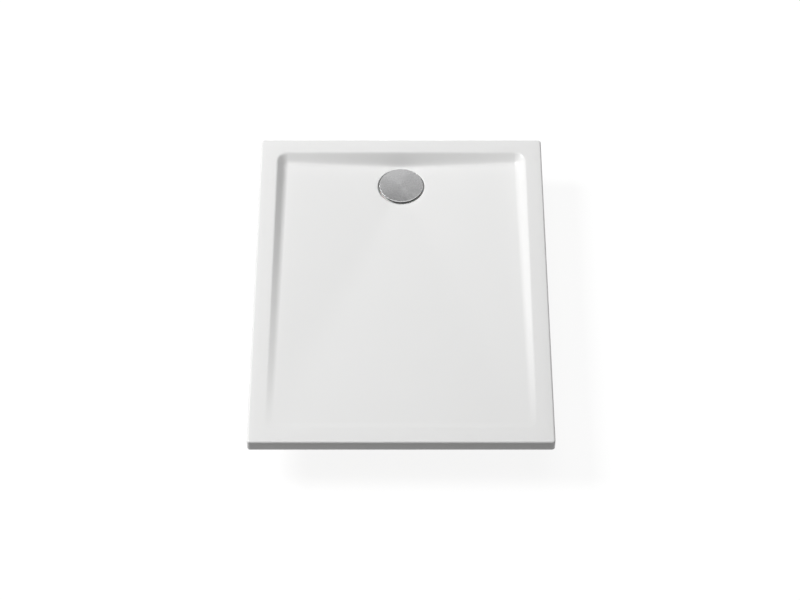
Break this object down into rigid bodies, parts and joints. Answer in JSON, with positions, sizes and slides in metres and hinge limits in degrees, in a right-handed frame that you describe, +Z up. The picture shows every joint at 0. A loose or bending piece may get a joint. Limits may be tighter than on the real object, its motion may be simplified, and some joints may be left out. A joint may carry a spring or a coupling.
{
  "type": "shower tray",
  "caption": "Low rectangular white shower tray with a flat rim, a floor sloping to a round chrome-covered waste at the back, battens, rails, screw feet and a lift-out trap.",
  "frame": {"origin": "on the floor under the middle of the tray, feet at their longest", "axes": "+Z up, +Y to the wall behind the waste, +X to the right seen from the front"},
  "size_m": [0.76, 1, 0.15],
  "materials": {
    "white_acrylic": "glossy white",
    "glass_fibre": "rough sprayed glass fibre",
    "timber": "sawn softwood",
    "galvanised_steel": "galvanised",
    "zinc_steel": "zinc plated",
    "black_nylon": "moulded",
    "black_rubber": "matte",
    "white_plastic": "moulded",
    "grey_plastic": "moulded",
    "chrome": "satin plated"
  },
  "bodies": {
    "root": {"tray_shell": "white_acrylic", "floor_laminate": "glass_fibre", "rail_left": "galvanised_steel", "rail_right": "galvanised_steel", "foot_carriers": "black_nylon", "lock_nuts": "zinc_steel", "tray_washer": "black_rubber", "waste_flange": "white_plastic", "trap_body": "white_plastic", "outlet_nut": "white_plastic", "rim_batten_left": "timber", "rim_batten_right": "timber", "rim_batten_front": "timber", "rim_batten_back": "timber", "rear_stub_left": "timber", "rear_stub_right": "timber", "cross_batten_1": "timber", "cross_batten_2": "timber", "cross_batten_3": "timber", "cross_batten_4": "timber", "cross_batten_5": "timber"},
    "foot_1_pad": {"foot_pad_1": "black_nylon"},
    "foot_1_spindle": {"foot_spindle_1": "zinc_steel"},
    "foot_2_pad": {"foot_pad_2": "black_nylon"},
    "foot_2_spindle": {"foot_spindle_2": "zinc_steel"},
    "foot_3_pad": {"foot_pad_3": "black_nylon"},
    "foot_3_spindle": {"foot_spindle_3": "zinc_steel"},
    "foot_4_pad": {"foot_pad_4": "black_nylon"},
    "foot_4_spindle": {"foot_spindle_4": "zinc_steel"},
    "cup": {"dip_cup": "grey_plastic"},
    "cover": {"waste_cover": "chrome"}
  },
  "joints": [
    {"name": "foot_1_height", "type": "slide", "parent": "root", "child": "foot_1_pad", "axis": [0, 0, 1], "range_m": [0, 0.02]},
    {"name": "foot_1_turn", "type": "hinge", "parent": "foot_1_pad", "child": "foot_1_spindle", "pos_m": [-0.24, -0.335, 0.05], "axis": [0, 0, 1], "range_deg": [0, 4810]},
    {"name": "foot_2_height", "type": "slide", "parent": "root", "child": "foot_2_pad", "axis": [0, 0, 1], "range_m": [0, 0.02]},
    {"name": "foot_2_turn", "type": "hinge", "parent": "foot_2_pad", "child": "foot_2_spindle", "pos_m": [0.24, -0.335, 0.05], "axis": [0, 0, 1], "range_deg": [0, 4810]},
    {"name": "foot_3_height", "type": "slide", "parent": "root", "child": "foot_3_pad", "axis": [0, 0, 1], "range_m": [0, 0.02]},
    {"name": "foot_3_turn", "type": "hinge", "parent": "foot_3_pad", "child": "foot_3_spindle", "pos_m": [-0.24, 0.33, 0.05], "axis": [0, 0, 1], "range_deg": [0, 4810]},
    {"name": "foot_4_height", "type": "slide", "parent": "root", "child": "foot_4_pad", "axis": [0, 0, 1], "range_m": [0, 0.02]},
    {"name": "foot_4_turn", "type": "hinge", "parent": "foot_4_pad", "child": "foot_4_spindle", "pos_m": [0.24, 0.33, 0.05], "axis": [0, 0, 1], "range_deg": [0, 4810]},
    {"name": "cup_lift", "type": "slide", "parent": "root", "child": "cup", "axis": [0, 0, 1], "range_m": [0, 0.15]},
    {"name": "cover_lift", "type": "slide", "parent": "cup", "child": "cover", "axis": [0, 0, 1], "range_m": [0, 0.1]}
  ],
  "couplings": [
    {"joint": "foot_1_turn", "follows": "foot_1_height", "rad_per_m": 4188.8},
    {"joint": "foot_2_turn", "follows": "foot_2_height", "rad_per_m": 4188.8},
    {"joint": "foot_3_turn", "follows": "foot_3_height", "rad_per_m": 4188.8},
    {"joint": "foot_4_turn", "follows": "foot_4_height", "rad_per_m": 4188.8}
  ]
}
